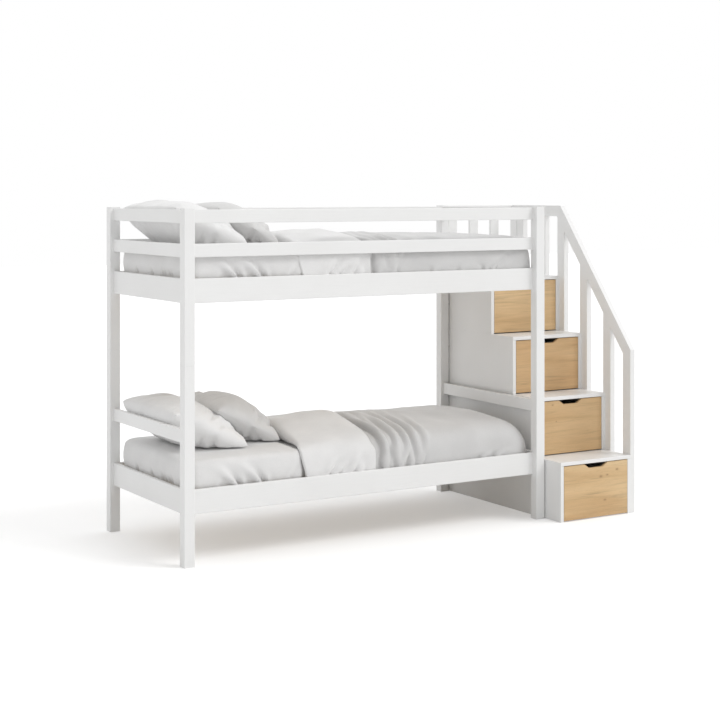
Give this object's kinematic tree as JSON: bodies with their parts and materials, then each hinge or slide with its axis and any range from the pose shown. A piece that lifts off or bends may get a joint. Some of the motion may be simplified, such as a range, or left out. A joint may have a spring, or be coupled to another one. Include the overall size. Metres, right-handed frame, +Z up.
{
  "type": "bunk bed with storage stairs",
  "caption": "Bunk bed: two single beds between square posts, with guard rails, and a stair unit at one end whose steps hold drawers and carry a balustrade.",
  "frame": {"origin": "centre of the whole footprint, on the floor", "axes": "+X from the head end to the stair unit, +Y from the front (drawer) side to the back, +Z up"},
  "size_m": [2.59, 1.146, 1.7185],
  "materials": {
    "white_paint": "white lacquer, satin",
    "oak_foil": "oak grain, matt",
    "drawer_board": "white melamine board, matt",
    "pine": "planed pine, untreated",
    "beech": "fluted beech, untreated",
    "steel": "zinc plated",
    "tape": "woven cotton tape",
    "sheet": "stretched cotton sheet over foam",
    "duvet": "cotton cover over a light filling",
    "pillow": "cotton cover over a light filling"
  },
  "bodies": {
    "frame": {"post_head_front_lower": "white_paint", "post_head_front_upper": "white_paint", "post_head_back_lower": "white_paint", "post_head_back_upper": "white_paint", "post_foot_front_lower": "white_paint", "post_foot_front_upper": "white_paint", "post_foot_back_lower": "white_paint", "post_foot_back_upper": "white_paint", "post_joint_pins": "steel", "front_bed_rail_lower": "white_paint", "front_bed_rail_upper": "white_paint", "front_guard_rail_mid": "white_paint", "front_guard_rail_top": "white_paint", "back_bed_rails": "white_paint", "back_guard_rails": "white_paint", "end_bed_rails": "white_paint", "head_guard_rails": "white_paint", "foot_guard_rails": "white_paint", "slat_cleats": "pine", "bed_slats": "pine", "slat_tapes": "tape", "wood_dowels": "beech", "rail_connectors": "steel", "cleat_screws": "steel", "stair_panel_inner_lower": "white_paint", "stair_panel_outer_lower": "white_paint", "stair_panel_inner_upper": "white_paint", "stair_panel_outer_upper": "white_paint", "tread_board_first": "white_paint", "tread_board_second": "white_paint", "deck_board": "white_paint", "platform_board": "white_paint", "stair_back_panels": "white_paint", "floor_stretchers": "white_paint", "slide_channels": "steel", "unit_bolts": "steel", "newel_post": "white_paint", "stair_balusters": "white_paint", "handrail_sloped": "white_paint", "handrail_level": "white_paint", "back_guard_rail": "white_paint", "back_guard_balusters": "white_paint", "mattress_lower": "sheet", "mattress_upper": "sheet", "duvet_lower": "duvet", "duvet_upper": "duvet", "pillows_lower": "pillow", "pillows_upper": "pillow"},
    "drawer_1": {"drawer_1_front": "oak_foil", "drawer_1_tray": "drawer_board", "drawer_1_fittings": "steel"},
    "drawer_2": {"drawer_2_front": "oak_foil", "drawer_2_tray": "drawer_board", "drawer_2_fittings": "steel"},
    "drawer_3": {"drawer_3_front": "oak_foil", "drawer_3_tray": "drawer_board", "drawer_3_fittings": "steel"},
    "drawer_4": {"drawer_4_front": "oak_foil", "drawer_4_tray": "drawer_board", "drawer_4_fittings": "steel"}
  },
  "joints": [
    {"name": "drawer_1_slide", "type": "slide", "parent": "frame", "child": "drawer_1", "axis": [0, -1, 0], "range_m": [0, 0.32]},
    {"name": "drawer_2_slide", "type": "slide", "parent": "frame", "child": "drawer_2", "axis": [0, -1, 0], "range_m": [0, 0.32]},
    {"name": "drawer_3_slide", "type": "slide", "parent": "frame", "child": "drawer_3", "axis": [0, -1, 0], "range_m": [0, 0.32]},
    {"name": "drawer_4_slide", "type": "slide", "parent": "frame", "child": "drawer_4", "axis": [0, -1, 0], "range_m": [0, 0.32]}
  ]
}
